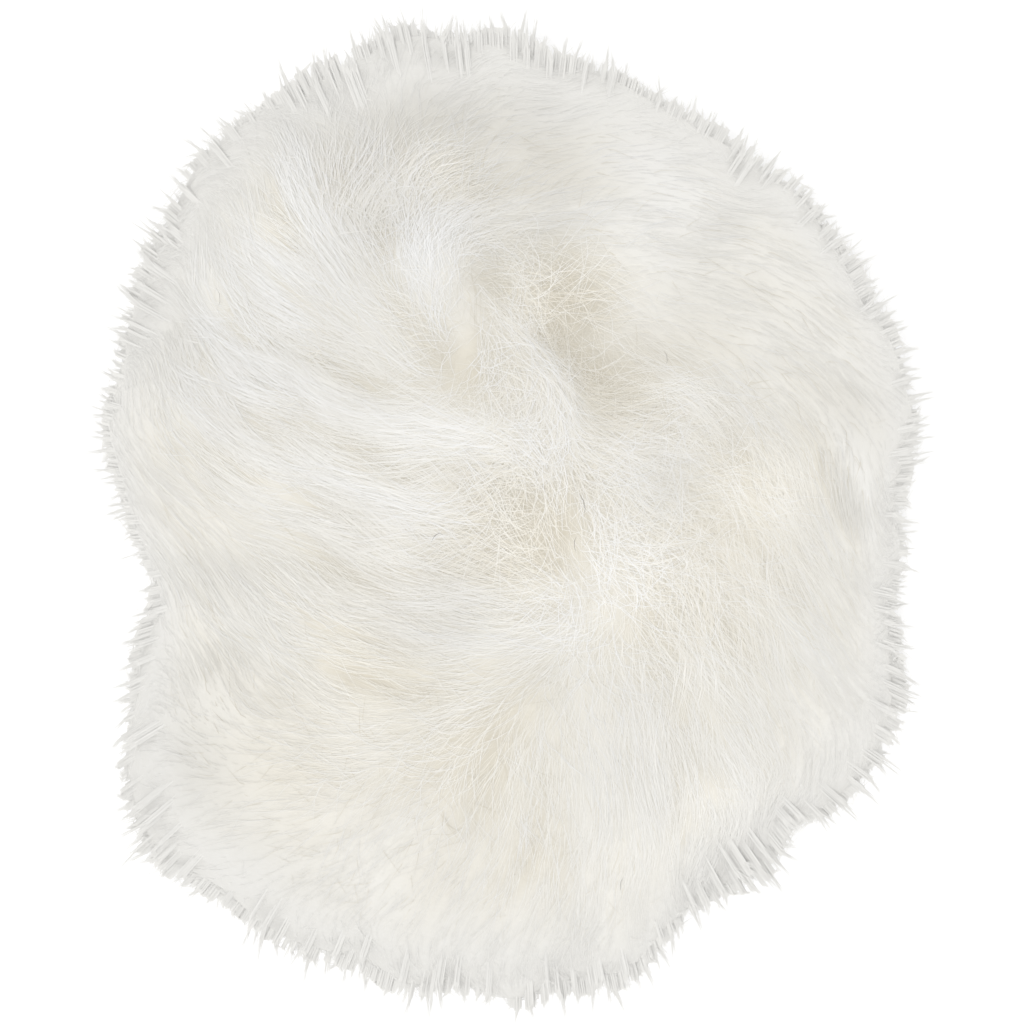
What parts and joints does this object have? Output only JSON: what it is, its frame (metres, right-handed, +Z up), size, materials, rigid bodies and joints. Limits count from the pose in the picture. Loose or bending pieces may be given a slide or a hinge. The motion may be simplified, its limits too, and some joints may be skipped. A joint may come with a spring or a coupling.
{
  "type": "pom pom",
  "caption": "Fluffy off-white long-pile fur pom pom: an uneven soft ball with combed locks, a crown whorl and a small flat spot to rest on.",
  "frame": {"origin": "on the flat spot, under the middle of the ball's bounding box", "axes": "+Z up from the flat spot to the crown, +Y along the ball's longest side, +X to the right as seen from above"},
  "size_m": [0.1006, 0.1196, 0.092],
  "materials": {
    "fur": "soft long-pile off-white fur, creamier at the roots and white at the tips"
  },
  "bodies": {
    "root": {"fur_ball": "fur"}
  },
  "joints": []
}
